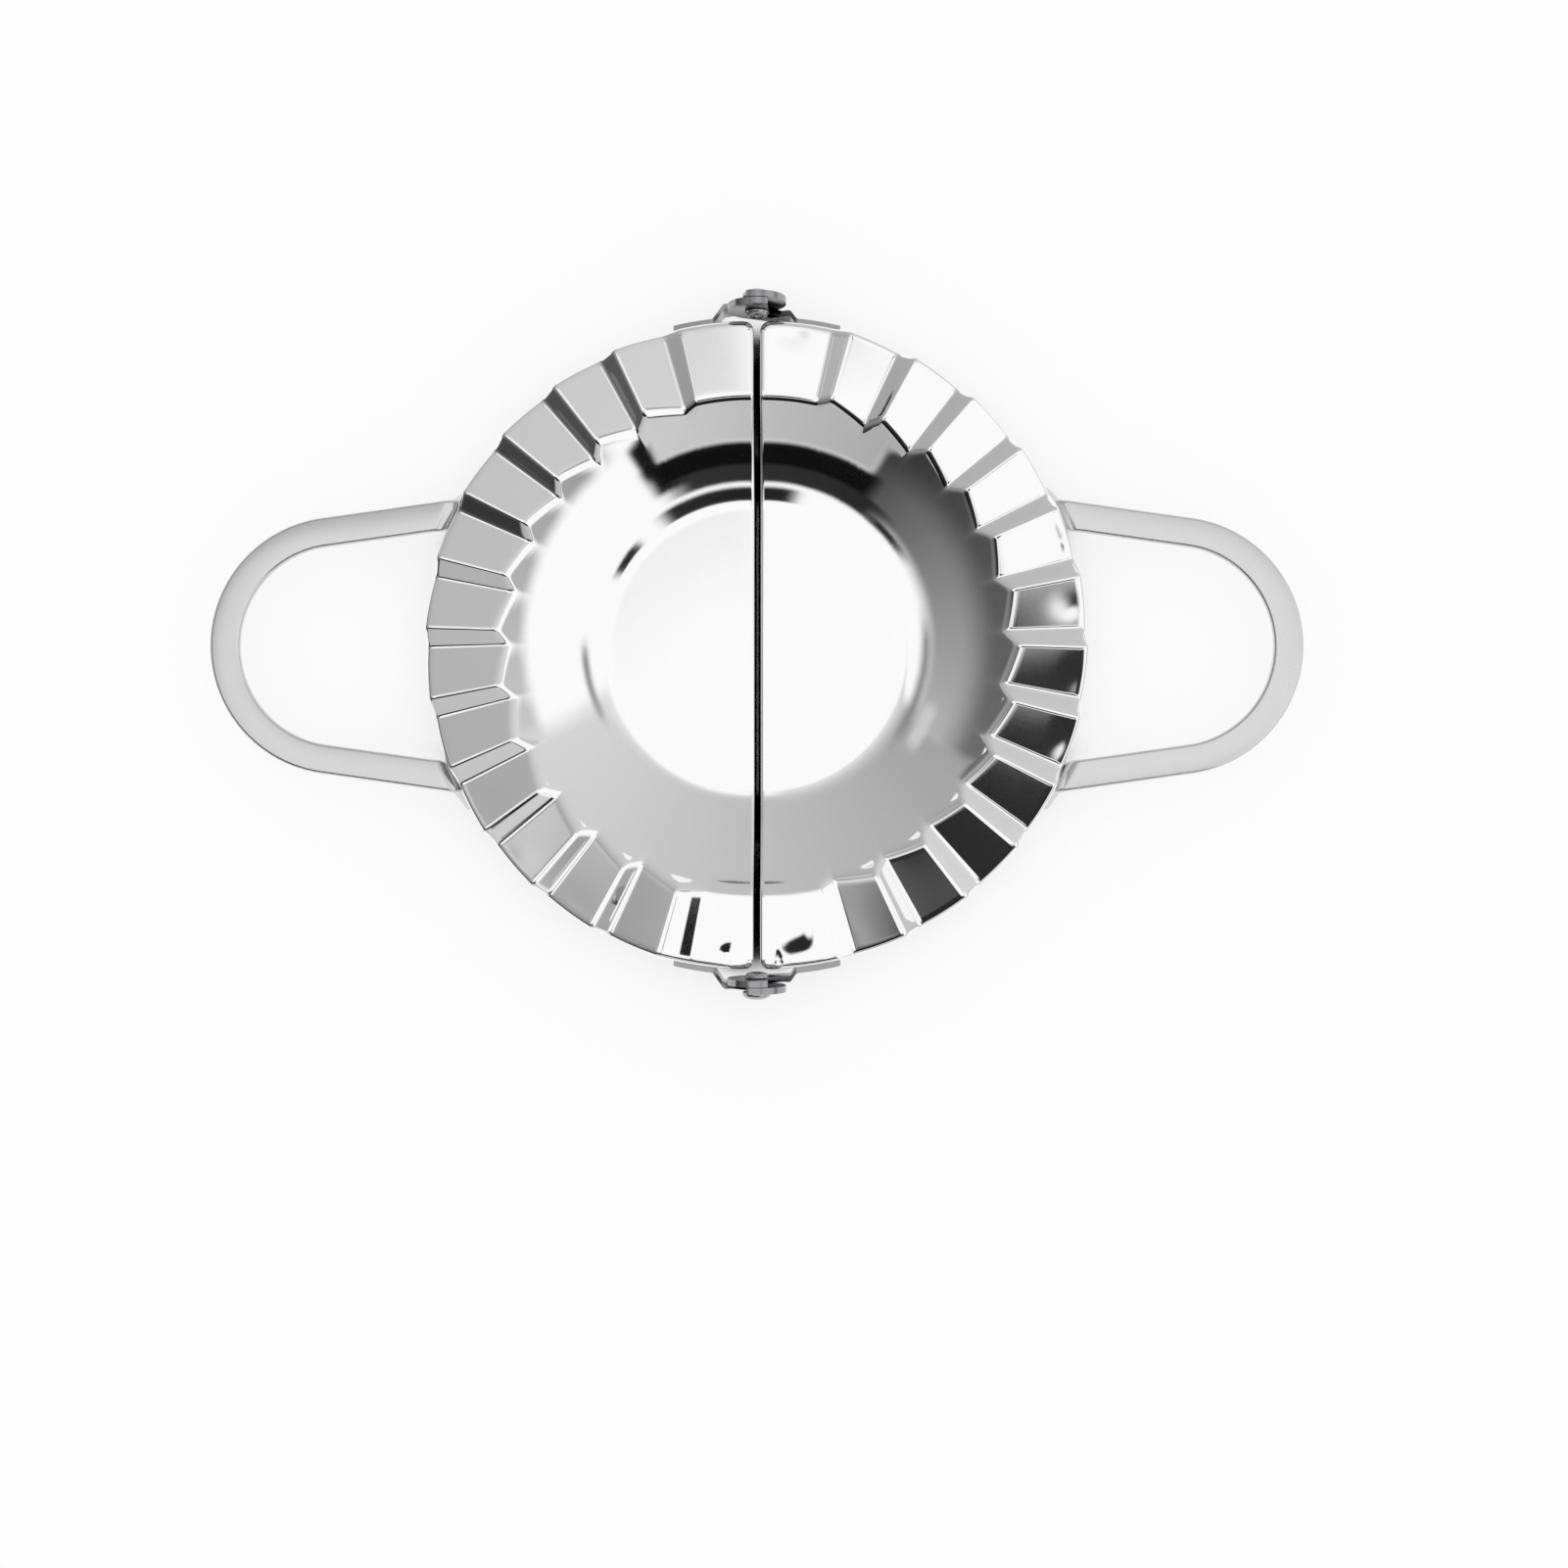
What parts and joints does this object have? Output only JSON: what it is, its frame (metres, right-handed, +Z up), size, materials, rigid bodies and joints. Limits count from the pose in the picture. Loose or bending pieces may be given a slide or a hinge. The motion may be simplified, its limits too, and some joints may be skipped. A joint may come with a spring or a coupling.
{
  "type": "dumpling maker",
  "caption": "Hinged stainless steel dumpling press, open and flat: half-round pans with a shallow bowl, an interlocking saw-tooth crimping rim and loop handles.",
  "frame": {"origin": "middle of the footprint, on the underside of the flat bowl floors", "axes": "+X from handle to handle, +Y along the split and the hinge line, +Z up out of the bowls"},
  "size_m": [0.1574, 0.1014, 0.0135],
  "materials": {
    "polished_steel": "mirror polished stainless steel sheet with fine drawing marks",
    "handle_steel": "satin stainless steel strip, brushed along its length",
    "bracket_steel": "bright stainless steel strip, tumbled",
    "rivet_steel": "bright turned steel with a clinched end"
  },
  "bodies": {
    "left_half": {"left_pan": "polished_steel", "left_handle": "handle_steel", "left_far_bracket": "bracket_steel", "left_near_bracket": "bracket_steel", "far_rivet": "rivet_steel", "near_rivet": "rivet_steel"},
    "right_half": {"right_pan": "polished_steel", "right_handle": "handle_steel", "right_far_bracket": "bracket_steel", "right_near_bracket": "bracket_steel"}
  },
  "joints": [
    {"name": "fold", "type": "hinge", "parent": "left_half", "child": "right_half", "pos_m": [0, 0, 0.0093], "axis": [0, -1, 0], "range_deg": [0, 180]}
  ]
}
